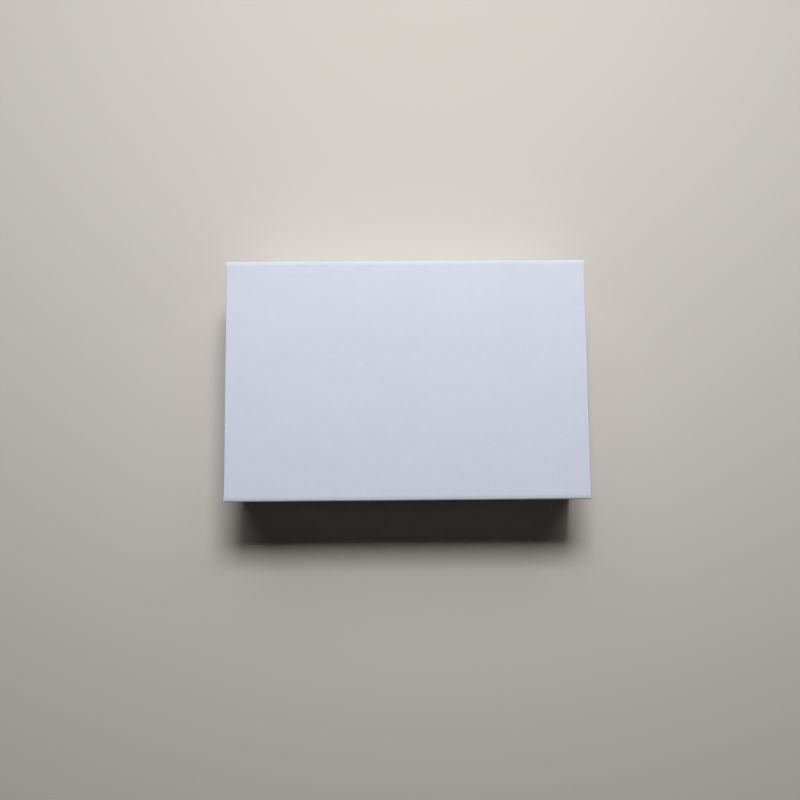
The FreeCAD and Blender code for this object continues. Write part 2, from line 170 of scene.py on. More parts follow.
def makeCoverPaper(look):
    # matt art paper with a fine rolled grain, its fibres lying along the box
    material, tree, shader = newMaterial(
        "coverPaper", 0.72, Specular_IOR_Level=0.3, Sheen_Weight=0.04)
    fibres = noiseLayer(tree, look["fibreSize"], stretch=(2.0, 1, 1), detail=4)
    grain = noiseLayer(tree, look["grainSize"], stretch=(1.6, 1, 1), detail=2)
    clouds = noiseLayer(tree, look["cloudSize"], detail=2)
    twoShades(tree, shader, mixLayers(tree, fibres, clouds, 0.55), look, 0.25, 0.75)
    varyRoughness(tree, shader, grain, *look["roughness"])
    relief(tree, shader, mixLayers(tree, fibres, grain, 0.6), look["relief"])
    return material


linerPaperLook = {
    "colour": (0.77, 0.765, 0.755),
    "spread": 0.02,
    "fibreSize": 1.6,
    "roughness": (0.62, 0.74),
    "relief": 0.012,
}


def makeLinerPaper(look):
    # smoother paper, its fibres lying across the box
    material, tree, shader = newMaterial("linerPaper", 0.68)
    fibres = noiseLayer(tree, look["fibreSize"], stretch=(1, 2.4, 1), detail=5)
    twoShades(tree, shader, fibres, look)
    varyRoughness(tree, shader, fibres, *look["roughness"])
    relief(tree, shader, fibres, look["relief"])
    return material


greyboardLook = {
    "colour": (0.30, 0.28, 0.25),
    "spread": 0.22,
    "pulpSize": 0.8,
    "fleckSize": 3.5,
    "relief": 0.05,
}


def makeGreyboard(look):
    # pressed waste-paper pulp, with longer flecks in it
    material, tree, shader = newMaterial("greyboard", 0.9)
    pulp = noiseLayer(tree, look["pulpSize"], detail=6, distortion=0.6)
    flecks = noiseLayer(tree, look["fleckSize"], stretch=(3, 1, 1), detail=4)
    tone = combine(tree, "MULTIPLY", pulp, combine(tree, "ADD", flecks, 0.5))
    twoShades(tree, shader, tone, look)
    relief(tree, shader, pulp, look["relief"])
    return material


velvetLook = {
    "colour": (0.66, 0.645, 0.615),
    "spread": 0.09,
    "sheenTint": (1, 0.98, 0.94),
    "pileSize": 0.22,
    "napSize": 9.0,
    "relief": 0.10,
}


def makeVelvet(look):
    # short pile: fine tufts, with patches where the nap leans another way
    material, tree, shader = newMaterial(
        "velvet", 0.95, Sheen_Weight=0.55, Sheen_Roughness=0.35, Specular_IOR_Level=0.15)
    shader.inputs["Sheen Tint"].default_value = (*look["sheenTint"], 1)
    pile = noiseLayer(tree, look["pileSize"], detail=3)
    nap = noiseLayer(tree, look["napSize"], stretch=(1, 1.8, 1), detail=2, distortion=0.8)
    twoShades(tree, shader, mixLayers(tree, pile, nap, 0.6), look, 0.28, 0.72)
    relief(tree, shader, pile, look["relief"])
    return material


satinLook = {
    "colour": (0.76, 0.745, 0.715),
    "spread": 0.035,
    "thread": 0.30,
    "padRibs": 1.0,
    "ribbonRibs": 1.6,
    "roughness": (0.28, 0.42),
    "relief": 0.02,
}


def makeSatin(name, look, ribs):
    # long floating threads that shine along one way, crossed by ribs this many threads apart
    material, tree, shader = newMaterial(
        name, 0.34, Anisotropic=0.55, Sheen_Weight=0.25, Specular_IOR_Level=0.55)
    threads = noiseLayer(tree, look["thread"], stretch=(14, 1, 1), detail=2)
    weave = waveLayer(tree, look["thread"] * ribs, "X", distortion=0.4)
    pattern = mixLayers(tree, threads, weave, 0.75)
    twoShades(tree, shader, pattern, look, 0.25, 0.75)
    varyRoughness(tree, shader, threads, *look["roughness"])
    relief(tree, shader, pattern, look["relief"])
    return material


foamLook = {"colour": (0.62, 0.60, 0.54), "spread": 0.12, "cell": 0.7, "relief": 0.3}


def makeFoam(look):
    material, tree, shader = newMaterial("foam", 0.95)
    place = tree.nodes.new("ShaderNodeTexCoord")
    cells = tree.nodes.new("ShaderNodeTexVoronoi")
    cells.inputs["Scale"].default_value = 1 / (look["cell"] * mm)
    tree.links.new(place.outputs["Object"], cells.inputs["Vector"])
    twoShades(tree, shader, cells.outputs["Distance"], look, 0.1, 0.6)
    relief(tree, shader, cells.outputs["Distance"], look["relief"])
    return material


kraftLook = {
    "dark": (0.36, 0.24, 0.13),
    "light": (0.46, 0.33, 0.20),
    "fibreSize": 1.2,
    "relief": 0.02,
}


def makeKraft(look):
    material, tree, shader = newMaterial("kraftTape", 0.7)
    fibres = noiseLayer(tree, look["fibreSize"], stretch=(1, 1, 4), detail=5)
    colour = colourRange(tree, fibres, [(0.3, look["dark"]), (0.7, look["light"])])
    tree.links.new(colour, shader.inputs["Base Color"])
    relief(tree, shader, fibres, look["relief"])
    return material


metalFinish = {"spread": 0.08, "lineSize": 0.5, "relief": 0.004}
metalLooks = {
    "nickel": {"colour": (0.66, 0.64, 0.60), "roughness": 0.22, "brushing": (1, 1, 1)},
    "sheetSteel": {"colour": (0.50, 0.50, 0.51), "roughness": 0.38, "brushing": (6, 1, 1)},
}


def makeMetal(name):
    # fine lines from brushing or rolling
    look = {**metalFinish, **metalLooks[name]}
    roughness = look["roughness"]
    material, tree, shader = newMaterial(name, roughness, Metallic=1.0)
    lines = noiseLayer(tree, look["lineSize"], stretch=look["brushing"], detail=3)
    twoShades(tree, shader, lines, look)
    varyRoughness(tree, shader, lines, roughness * 0.8, roughness * 1.3)
    relief(tree, shader, lines, look["relief"])
    return material


coverPaper = makeCoverPaper(coverPaperLook)
linerPaper = makeLinerPaper(linerPaperLook)
velvet = makeVelvet(velvetLook)
satin = makeSatin("padSatin", satinLook, satinLook["padRibs"])
ribbonSatin = makeSatin("ribbonSatin", satinLook, satinLook["ribbonRibs"])
foam = makeFoam(foamLook)
kraft = makeKraft(kraftLook)
slotMaterials = {
    "greyboard": makeGreyboard(greyboardLook),
    "liner_paper": linerPaper,
    "white_paper": coverPaper,
    "tape_paper": kraft,
    "steel": makeMetal("sheetSteel"),
    "magnet": makeMetal("nickel"),
    "foam": foam,
    "velvet": velvet,
    "satin": satin,
    "ribbon": ribbonSatin,
}
# The CAD pieces that stay are the ones hidden under paper, velvet or satin
for entry in frame["record"]["subparts"]:
    node = frame["nodes"][entry["node"]]
    node.data.materials.clear()
    node.data.materials.append(slotMaterials[entry["material_slot"]])
print("materials made")


def newPiece(name, points, faces, material, replaced=()):
    # points are in millimetres
    mesh = bpy.data.meshes.new(name)
    mesh.from_pydata([Vector(point) * mm for point in points], [], faces)
    mesh.validate()
    piece = bpy.data.objects.new(name, mesh)
    bpy.context.scene.collection.objects.link(piece)
    finishPiece(piece, material, replaced)
    return piece


def cleanMesh(mesh):
    # one point where two meet, and every face turned outwards
    work = bmesh.new()
    work.from_mesh(mesh)
    bmesh.ops.remove_doubles(work, verts=work.verts, dist=0.002 * mm)
    bmesh.ops.recalc_face_normals(work, faces=work.faces)
    work.to_mesh(mesh)
    work.free()


def finishPiece(piece, material, replaced=()):
    cleanMesh(piece.data)
    piece.data.materials.clear()
    piece.data.materials.append(material)
    if replaced:
        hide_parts(*replaced)


def shadeByAngle(piece, degrees=35):
    for face in piece.data.polygons:
        face.use_smooth = True
    piece.data.set_sharp_from_angle(angle=math.radians(degrees))


def keepFlat(piece):
    # large flat faces stay flat beside small rounded edges
    modifier = piece.modifiers.new("weightedNormals", "WEIGHTED_NORMAL")
    modifier.keep_sharp = True


def roundedLine(points, radius, steps=5):
    # the same line with its corners rounded off
    line = [Vector(points[0])]
    for before, corner, after in zip(points, points[1:], points[2:]):
        before, corner, after = Vector(before), Vector(corner), Vector(after)
        reach = min(radius, (before - corner).length * 0.5, (after - corner).length * 0.5)
        start = corner + (before - corner).normalized() * reach
        end = corner + (after - corner).normalized() * reach
        for step in range(steps + 1):
            part = step / steps
            line.append(start * (1 - part) ** 2 + corner * 2 * part * (1 - part) + end * part**2)
    line.append(Vector(points[-1]))
    return line


def bothSides(line, thickness):
    # the two outlines of a sheet that follows this line
    left, right = [], []
    for index, point in enumerate(line):
        ahead = line[min(index + 1, len(line) - 1)]
        behind = line[max(index - 1, 0)]
        along = (ahead - behind).normalized()
        side = Vector((-along.y, along.x)) * thickness / 2
        left.append(point + side)
        right.append(point - side)
    return left, right


def spread(low, high, count):
    return [low + (high - low) * step / count for step in range(count + 1)]


def addStrip(points, faces, line, thickness, stations, upright=False):
    # a sheet of this thickness that follows the line, through all the stations
    left, right = bothSides(line, thickness)
    around = left + right[::-1]
    count, first = len(around), len(points)
    for station in stations:
        for a, b in around:
            points.append((a, b, station) if upright else (station, a, b))
    for row in range(len(stations) - 1):
        start = first + row * count
        for index in range(count):
            after = (index + 1) % count
            faces.append((start + index, start + after,
                          start + count + after, start + count + index))
    last = first + (len(stations) - 1) * count
    for index in range(len(left) - 1):
        across = count - 1 - index
        faces.append((first + index, first + index + 1, first + across - 1, first + across))
        faces.append((last + index, last + across, last + across - 1, last + index + 1))


def bentSheet(name, line, thickness, stations, material, replaced=()):
    points, faces = [], []
    addStrip(points, faces, line, thickness, stations)
    piece = newPiece(name, points, faces, material, replaced)
    shadeByAngle(piece)
    return piece


# Wrapped panels of the case: paper over a board, turned in on its inner face
casePaper = {
    "thickness": 0.2,
    "turnIn": 15.0,
    "edgeRadius": 0.45,
    "edgeSteps": 4,
    # the strips that hug a board's end at a hinge, and how far they reach into their neighbours
    "endStrip": 0.10,
    "tuck": 0.02,
}


def panelWindow(low, high, axis, openEnds):
    # along one axis, where the turned-in margins stop
    start = low[axis] + (0 if (axis, -1) in openEnds else casePaper["turnIn"])
    end = high[axis] - (0 if (axis, 1) in openEnds else casePaper["turnIn"])
    return start, end


def panelSpans(low, high, axis, inner, openEnds):
    # the stretches that the paper is divided into along one axis
    window = () if axis == inner[0] else panelWindow(low, high, axis, openEnds)
    return list(pairwise(sorted({low[axis], *window, high[axis]})))


def wrappedPanel(name, node, inner, openEnds, body):
    # a sheet over a board: outer face, folded edges and the turned-in margin on the inner face
    low, high = edges(node)
    middle = (low + high) / 2 * mm
    work = bmesh.new()
    made = {}

    def corner(place):
        key = tuple(round(value, 3) for value in place)
        if key not in made:
            made[key] = work.verts.new(Vector(place) * mm)
        return made[key]

    def isBare(sides, spans):
        # the board's inner face is left open between the margins
        windows = [panelWindow(low, high, side, openEnds) for side in sides]
        return all(window[0] <= span[0] and span[1] <= window[1]
                   for window, span in zip(windows, spans))

    for axis, sign in product(range(3), (-1, 1)):
        if (axis, sign) in openEnds:
            continue
        across, along = sides = [other for other in range(3) if other != axis]
        for spans in product(*(panelSpans(low, high, side, inner, openEnds) for side in sides)):
            if (axis, sign) == inner and isBare(sides, spans):
                continue
            (a0, a1), (b0, b1) = spans
            quad = []
            for a, b in ((a0, b0), (a1, b0), (a1, b1), (a0, b1)):
                place = [0, 0, 0]
                place[axis] = (low if sign < 0 else high)[axis]
                place[across], place[along] = a, b
                quad.append(corner(place))
            face = work.faces.new(quad)
            face.normal_update()
            if face.normal.dot(face.calc_center_median() - middle) < 0:
                face.normal_flip()
    rightAngle = math.radians(90)
    folds = [edge for edge in work.edges
             if len(edge.link_faces) == 2 and edge.calc_face_angle() > rightAngle / 2]
    bmesh.ops.bevel(work, geom=folds, offset=casePaper["edgeRadius"] * mm,
                    segments=casePaper["edgeSteps"], profile=0.5, affect="EDGES")
    mesh = bpy.data.meshes.new(name)
    work.to_mesh(mesh)
    work.free()
    piece = bpy.data.objects.new(name, mesh)
    bpy.context.scene.collection.objects.link(piece)
    for face in mesh.polygons:
        face.use_smooth = True
    mesh.materials.append(coverPaper)
    sheet = piece.modifiers.new("paper", "SOLIDIFY")
    sheet.thickness = casePaper["thickness"] * mm
    sheet.offset = -1
    keepFlat(piece)
    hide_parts(node)
    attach(piece, body)


def turnedInEnds(name, node, inner, openEnds, body):
    # along both sides the wrap is turned in across a hinge, and hugs the board's end there
    low, high = edges(node)
    thin, tuck = casePaper["endStrip"], casePaper["tuck"]
    bridge = foldLook["sheets"] * casePaper["thickness"] + tuck
    innerAxis, innerSign = inner
    inside, outside = (high, low) if innerSign > 0 else (low, high)
    points, faces = [], []
    for axis, sign in openEnds:
        end = (high if sign > 0 else low)[axis]
        for side in (-1, 1):
            far = side * (high.x - thin / 2)
            spans = {
                0: (far - side * casePaper["turnIn"], far),
                axis: (end - sign * tuck, end + sign * thin),
                innerAxis: (inside[innerAxis] - innerSign * tuck,
                            outside[innerAxis] + innerSign * bridge),
            }
            addBlock(points, faces, [spans[number] for number in range(3)])
    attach(newPiece(name, points, faces, coverPaper), body)


def addBlock(points, faces, spans):
    first = len(points)
    points += [(x, y, z) for x in spans[0] for y in spans[1] for z in spans[2]]
    for quad in ((0, 1, 3, 2), (4, 6, 7, 5), (0, 4, 5, 1), (2, 3, 7, 6), (0, 2, 6, 4),
                 (1, 5, 7, 3)):
        faces.append([first + corner for corner in quad])


foldLook = {
    "sheets": 2,
    "columns": 24,
    # the bridge slopes off from each board, then turns at a tight crease
    "slopeStart": 0.40,
    "slopeDrop": 0.115,
    "creaseRadius": 0.55,
}

# inner face and open ends of each panel, as an axis (0, 1, 2 for X, Y, Z) and a direction
panels = [
    ("bottom", "case_wrap_bottom", (2, 1), [(1, 1)], "root"),
    ("spine", "case_wrap_spine", (1, -1), [(2, -1), (2, 1)], "root"),
    ("cover", "cover_wrap", (2, -1), [(1, -1), (1, 1)], "cover"),
    ("flap", "flap_wrap", (1, 1), [(2, 1)], "flap"),
]
for panel, node, inner, openEnds, body in panels:
    wrappedPanel(panel + "Wrap", node, inner, openEnds, body)
    turnedInEnds(panel + "TurnIn", node, inner, openEnds, body)
print("case wrap made")


# Folds of the case, where the wrap and the lining run on as bare paper
def foldLine(node, signY, signZ):
    # from the side panel's edge, round the crease, to the flat panel's edge
    low, high = edges(node)
    reach = high.y - low.y - casePaper["thickness"] * foldLook["sheets"] / 2
    centreY = low.y if signY > 0 else high.y
    centreZ = low.z if signZ > 0 else high.z
    start, drop = foldLook["slopeStart"], 1 - foldLook["slopeDrop"]
    shape = [(1, 0), (1, start), (1 - (1 - drop) / 3, drop), (start, 1), (0, 1)]
    line = [(centreY + signY * out * reach, centreZ + signZ * up * reach) for out, up in shape]
    return roundedLine(line, foldLook["creaseRadius"], steps=8)


def foldPiece(name, node, signY, signZ):
    low, high = edges(node)
    thickness = foldLook["sheets"] * casePaper["thickness"]
    stations = spread(low.x, high.x, foldLook["columns"])
    return bentSheet(name, foldLine(node, signY, signZ), thickness, stations,
                     coverPaper, (node,))


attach(foldPiece("bottomFold", "bottom_fold_paper", 1, -1), "root")

# the hinge folds bend between the edges of their two panels
backFold = foldPiece("backHinge", "back_hinge_paper", 1, 1)
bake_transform(backFold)

frontFold = foldPiece("frontHinge", "front_hinge_paper", -1, 1)
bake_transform(frontFold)
print("folds made")

# Lining: flat on each board and turned over its edge at a hinge
linerLook = {"thickness": 0.2, "cornerRadius": 0.35, "columns": 12, "lipMargin": 0.3}


def linerPiece(name, node, line, body):
    low, high = edges(node)
    line = roundedLine(line, linerLook["cornerRadius"])
    piece = bentSheet(name, line, linerLook["thickness"],
                      spread(low.x, high.x, linerLook["columns"]), linerPaper,
                      (node,))
    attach(piece, body)


def makeLiners():
    half = linerLook["thickness"] / 2
    lip = linerLook["lipMargin"]
    low, high = edges("cover_liner")
    boardTop = edges("cover_board")[1].z
    level = (low.z + high.z) / 2
    linerPiece("coverLiner", "cover_liner", [
        (low.y - half, boardTop - lip), (low.y - half, level),
        (high.y + half, level), (high.y + half, boardTop - lip)], "cover")

    low, high = edges("spine_liner")
    outside = edges("case_spine_board")[1].y
    level = (low.y + high.y) / 2
    linerPiece("spineLiner", "spine_liner", [
        (level, low.z), (level, high.z + half), (outside - lip, high.z + half)], "root")

    low, high = edges("flap_liner")
    outside = edges("flap_board")[0].y
    level = (low.y + high.y) / 2
    linerPiece("flapLiner", "flap_liner", [
        (level, low.z), (level, high.z + half), (outside + lip, high.z + half)], "flap")


makeLiners()
print("lining made")

# Tray wrap: one sheet round the walls, over the rim and under the floor
trayLook = {
    "paper": 0.2,
    "floorMargin": 14.0,
    "turnInDepth": 24.0,
    "cornerRadius": 0.5,
    "cornerSteps": 5,
    "rimRadius": 0.55,
    # the tab under the sheet beside each corner: its far and near end along the wall, how far
    # it lifts the sheet, over what length at each end, and how far from the rim it starts
    "seamReach": 12.0,
    "seamEnd": 2.4,
    "seamRise": 0.07,
    "seamSlope": (0.5, 0.4),
    "seamFromRim": 1.0,
}


def traySection():
    # inset from the outer face, and height, along the middle of the sheet
    low, high = edges("tray_wrap")
    wallInside = edges("tray_left_board")[1].x - low.x
    half = trayLook["paper"] / 2
    return [(trayLook["floorMargin"], low.z + half), (half, low.z + half),
            (half, high.z - half), (wallInside + half, high.z - half),
            (wallInside + half, high.z - trayLook["turnInDepth"])]


def trayStations(halfX, halfY):
    # place, direction out of it, the signs of its corner or wall, and whether the sheet lies
    # over a tucked-in tab there
    radius = trayLook["cornerRadius"]
    steps = trayLook["cornerSteps"]
    reach, end = trayLook["seamReach"], trayLook["seamEnd"]
    farSlope, nearSlope = trayLook["seamSlope"]
    seam = [(reach + farSlope, False), (reach, True), (end + nearSlope, True), (end, False)]
    found = []
    for index, (signX, signY) in enumerate([(1, 1), (-1, 1), (-1, -1), (1, -1)]):
        centre = Vector((signX * (halfX - radius), signY * (halfY - radius)))
        side = [(Vector((centre.x, centre.y - signY * away)), Vector((signX, 0)), (signX, 0),
                 raised) for away, raised in seam]
        arc = []
        for angle in spread(index * 90, index * 90 + 90, steps):
            turn = math.radians(angle)
            arc.append((centre, Vector((math.cos(turn), math.sin(turn))), (signX, signY), False))
        found += side + arc if index % 2 == 0 else arc + side[::-1]
    return found


def makeTrayWrap():
    low, high = edges("tray_wrap")
    middle = (low + high) / 2
    halfX, halfY = (high.x - low.x) / 2, (high.y - low.y) / 2
    section = roundedLine(traySection(), trayLook["rimRadius"])
    left, right = bothSides(section, trayLook["paper"])
    around = left + right[::-1]
    radius, clear = trayLook["cornerRadius"], trayLook["seamFromRim"]
    points, faces = [], []
    stations = trayStations(halfX, halfY)
    for centre, direction, signs, raised in stations:
        for inset, z in around:
            outside = inset < clear and z < high.z - clear
            inset -= trayLook["seamRise"] if raised and outside else 0
            place = centre + direction * max(radius - inset, 0)
            beyond = max(inset - radius, 0)
            place -= Vector(signs) * beyond
            points.append((middle.x + place.x, middle.y + place.y, z))
    count = len(around)
    for row in range(len(stations)):
        after = (row + 1) % len(stations)
        for index in range(count):
            onward = (index + 1) % count
            faces.append((row * count + index, after * count + index,
                          after * count + onward, row * count + onward))
    piece = newPiece("trayWrap", points, faces, coverPaper, ("tray_wrap",))
    shadeByAngle(piece)
    keepFlat(piece)
    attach(piece, "root")


makeTrayWrap()

tapeLook = {"thickness": 0.1, "reach": 15.0, "bend": 0.25}


def makeCornerTapes():
    # paper tape bent round each corner of the tray, under the wrap
    low, high = edges("tray_corner_tapes")
    thickness, reach = tapeLook["thickness"], tapeLook["reach"]
    points, faces = [], []
    for signX, signY in ((1, 1), (-1, 1), (-1, -1), (1, -1)):
        x = (high.x if signX > 0 else low.x) - signX * thickness / 2
        y = (high.y if signY > 0 else low.y) - signY * thickness / 2
        line = roundedLine([(x, y - signY * reach), (x, y), (x - signX * reach, y)],
                           tapeLook["bend"])
        addStrip(points, faces, line, thickness, [low.z, high.z], upright=True)
    piece = newPiece("cornerTapes", points, faces, kraft, ("tray_corner_tapes",))
    shadeByAngle(piece)
    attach(piece, "root")


makeCornerTapes()
print("tray wrap made")

# Insert: velvet over foam, pressed down into the slits
insertLook = {
    # spacing of the grid: open deck, and beside a slit or an edge
    "skin": (2.4, 0.36),
    "core": (4.0, 0.7),
    "edgeBand": 2.5,
    "slitMargin": 0.4,
    "velvetThickness": 0.6,
    "edgeRadius": 2.2,
    "cornerRadius": 3.0,
    "ring": {"length": 32.0, "halfWidth": 1.1, "lip": 2.0, "depth": 7.0},
    "knife": {"halfWidth": 0.35, "lip": 1.1, "depth": 4.0},
    "earring": {"x": 22.0, "y": 14.0, "length": 9.0},
    "necklace": {"x": 59.0, "y": 38.0, "length": 14.0},
    "ringForward": 12.0,
    "wave": {"height": 0.10, "alongX": 0.11, "alongY": 0.13, "lean": 0.02, "start": 1.3},
    "wallSteps": 6,
}


def deckWave(x, y):
    # slow, slight unevenness of the glued velvet
    wave = insertLook["wave"]
    return wave["height"] * (0.5 + 0.5 * math.sin(x * wave["alongX"] + wave["start"])
                             * math.cos(y * wave["alongY"] + x * wave["lean"]))


def slitList(middleY, skin):
    # centre, direction, half length and profile of every slit in the deck
    look = insertLook
    ring, knife = [dict(look[name], halfWidth=look[name]["halfWidth"] + skin,
                        depth=look[name]["depth"] + skin) for name in ("ring", "knife")]
    slits = [(Vector((0, middleY - look["ringForward"])), Vector((1, 0)),
              ring["length"] / 2, ring)]
    for sign in (-1, 1):
        earring, necklace = look["earring"], look["necklace"]
        slits.append((Vector((sign * earring["x"], middleY + earring["y"])), Vector((0, 1)),
                      earring["length"] / 2, knife))
        slits.append((Vector((sign * necklace["x"], middleY + necklace["y"])),
                      Vector((1, -sign)).normalized(), necklace["length"] / 2, knife))
    return slits


def slitDrop(place, slit):
    # how far the deck sinks here: a rounded lip, then the steep side of the slit
    centre, direction, halfLength, shape = slit
    offset = place - centre
    along = abs(offset.dot(direction)) - halfLength
    across = abs(offset.cross(direction))
    distance = math.hypot(max(along, 0), across)
    width, lip = shape["halfWidth"], shape["lip"]
    if distance >= width + lip:
        return 0
    if distance >= width:
        inside = (width + lip - distance) / lip
        return lip * (1 - math.sqrt(max(1 - inside * inside, 0)))
    return lip + (shape["depth"] - lip) * (1 - distance / width)


def refinedLines(low, high, places, steps):
    # grid lines that are close together near the given (centre, reach) places
    coarse, fine = steps
    lines, value, nudge = [low], low, 0.01
    while value < high - nudge:
        near = any(abs(value - centre) < reach for centre, reach in places)
        step = fine if near else coarse
        for centre, reach in places:
            if value < centre - reach < value + step:
                step = centre - reach - value + nudge
        value = min(value + step, high)
        lines.append(value)
    return lines


def insertLines(low, high, slits, steps):
    band = insertLook["edgeBand"]
    placesX, placesY = [(low.x, band), (high.x, band)], [(low.y, band), (high.y, band)]
    for centre, direction, halfLength, shape in slits:
        edge = shape["halfWidth"] + shape["lip"] + insertLook["slitMargin"]
        for axis, places in ((0, placesX), (1, placesY)):
            reach = abs(direction[axis]) * halfLength
            if abs(direction[axis]) < 0.9:
                places.append((centre[axis], reach + edge))
            else:
                places.append((centre[axis] - reach, edge))
                places.append((centre[axis] + reach, edge))
    return (refinedLines(low.x, high.x, placesX, steps),
            refinedLines(low.y, high.y, placesY, steps))


def addGrid(faces, columns, rows):
    for row in range(rows - 1):
        for column in range(columns - 1):
            start = row * columns + column
            faces.append((start, start + 1, start + columns + 1, start + columns))


def gridRim(columns, rows):
    # the outer points of a grid, in order
    return ([column for column in range(columns)]
            + [row * columns + columns - 1 for row in range(1, rows)]
            + [(rows - 1) * columns + column for column in range(columns - 2, -1, -1)]
            + [row * columns for row in range(rows - 2, 0, -1)])


def addSkirt(points, faces, rim, levels, bottomCentre):
    # walls down from a rim through the levels, closed by a fan round the centre
    upper = rim
    for level in levels:
        lower = list(range(len(points), len(points) + len(rim)))
        points += [(points[index][0], points[index][1], level) for index in rim]
        for index in range(len(rim)):
            after = (index + 1) % len(rim)
            faces.append((upper[index], lower[index], lower[after], upper[after]))
        upper = lower
    points.append(bottomCentre)
    for index in range(len(rim)):
        faces.append((upper[index], len(points) - 1, upper[(index + 1) % len(rim)]))


def roundCorner(x, y, halfX, halfY, radius):
    # pulls the corners of the rectangle in to a round
    overX, overY = abs(x) - (halfX - radius), abs(y) - (halfY - radius)
    if overX <= 0 or overY <= 0:
        return x, y
    u, v = overX / radius, overY / radius
    newU, newV = u * math.sqrt(1 - v * v / 2), v * math.sqrt(1 - u * u / 2)
    return (math.copysign(halfX - radius + newU * radius, x),
            math.copysign(halfY - radius + newV * radius, y))


def insertPiece(name, node, material, skin, lines):
    # skin is how far this layer lies under the velvet's surface
    low, high = edges("insert_velvet")
    middle = (low + high) / 2
    slits = slitList(middle.y, skin)
    low += Vector((skin, skin, 0))
    high -= Vector((skin, skin, skin))
    halfX, halfY = (high.x - low.x) / 2, (high.y - low.y) / 2
    linesX, linesY = insertLines(low, high, slits, lines)
    radius = insertLook["edgeRadius"]
    points, faces = [], []
    for y in linesY:
        for x in linesX:
            placeX, placeY = roundCorner(x - middle.x, y - middle.y, halfX, halfY,
                                         insertLook["cornerRadius"])
            drop = 0
            nearest = min(halfX - abs(x - middle.x), halfY - abs(y - middle.y))
            if nearest < radius:
                inside = (radius - nearest) / radius
                drop = radius * (1 - math.sqrt(max(1 - inside * inside, 0)))
            sink = max(slitDrop(Vector((x, y)), slit) for slit in slits)
            points.append((middle.x + placeX, middle.y + placeY,
                           high.z - deckWave(x, y) - max(drop, sink)))
    addGrid(faces, len(linesX), len(linesY))
    addSkirt(points, faces, gridRim(len(linesX), len(linesY)),
             spread(high.z - radius, low.z, insertLook["wallSteps"])[1:],
             (middle.x, middle.y, low.z))
    piece = newPiece(name, points, faces, material, (node,))
    shadeByAngle(piece, degrees=60)
    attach(piece, "root")
    return piece


def makeInsert():
    skin = insertPiece("velvetInsert", "insert_velvet", velvet, 0, insertLook["skin"])
    insertPiece("insertCore", "insert_foam", foam, insertLook["velvetThickness"],
                insertLook["core"])


makeInsert()
print("insert made")

# Ribbon: up the front of the insert, then a hemmed tab that lies on the deck
ribbonLook = {
    "thickness": 0.24,
    "bend": 0.9,
    "columns": 16,
    # longest stretch of the mesh along the ribbon
    "stretch": 1.2,
    # middle of the strap from its outer face, and how far short of the tab's end the hem stops
    "strapMiddle": 0.15,
    "hemShort": 2.0,
    # the bend at the joint, from below to above the tab's underside
    "hingeBelow": 0.7,
    "hingeAbove": 0.05,
}


def makeRibbon():
    look = ribbonLook
    strapLow, strapHigh = edges("pull_ribbon_strap")
    tabLow, tabHigh = edges("pull_ribbon_tab")
    half = look["thickness"] / 2
    strapY, footZ = strapLow.y + look["strapMiddle"], strapLow.z + look["strapMiddle"]
    upper, lower = tabHigh.z - half, tabLow.z + half
    line = roundedLine([
        (strapHigh.y, footZ), (strapY, footZ), (strapY, upper), (tabHigh.y - half, upper),
        (tabHigh.y - half, lower), (tabLow.y + look["hemShort"], lower)],
        look["bend"], steps=8)
    finer = [line[0]]
    for point in line[1:]:
        start = finer[-1]
        pieces = max(1, round((point - start).length / look["stretch"]))
        finer += [start.lerp(point, (step + 1) / pieces) for step in range(pieces)]
    stations = spread(strapLow.x, strapHigh.x, look["columns"])
    piece = bentSheet("pullRibbon", finer, look["thickness"], stations, ribbonSatin,
                      ("pull_ribbon_strap", "pull_ribbon_tab"))
    # straight up, so that the foot under the insert stays with the box
    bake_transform(piece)


makeRibbon()
print("ribbon made")

# Pad inside the cover: satin over thin foam, puffed by a short cloth run
padLook = {
    "cell": 2.2,
    # how far the satin stands out round the card, and stays below its back
    "wrap": 0.15,
    "backInset": 0.02,
    # thickness at the card's edge, further out on the crown, and how soon it gets there
    "edgeThickness": 0.9,
    "crown": 1.5,
    "crownReach": 5.0,
    "frames": 20,
    "pressure": 4.0,
    "slack": -0.006,
    "quality": 6,
    "stiffness": 30,
    "bending": 0.4,
    "mostMove": 0.5,
}


def padMesh(low, high, cardEdge):
    # a thin closed slab: the face that shows, its sides over the card and the glued back
    across = round((high.x - low.x) / padLook["cell"])
    along = round((high.y - low.y) / padLook["cell"])
    linesX, linesY = spread(low.x, high.x, across), spread(low.y, high.y, along)
    points = []
    for y in linesY:
        for x in linesX:
            inside = min(x - low.x, high.x - x, y - low.y, high.y - y)
            crown = padLook["crown"] * (1 - math.exp(-inside / padLook["crownReach"]))
            points.append((x, y, cardEdge - padLook["edgeThickness"] - crown))
    faces = []
    columns, rows = len(linesX), len(linesY)
    addGrid(faces, columns, rows)
    loose = len(points)
    middle = (low + high) / 2
    addSkirt(points, faces, gridRim(columns, rows), [cardEdge, high.z],
             (middle.x, middle.y, high.z))
    return points, faces, loose


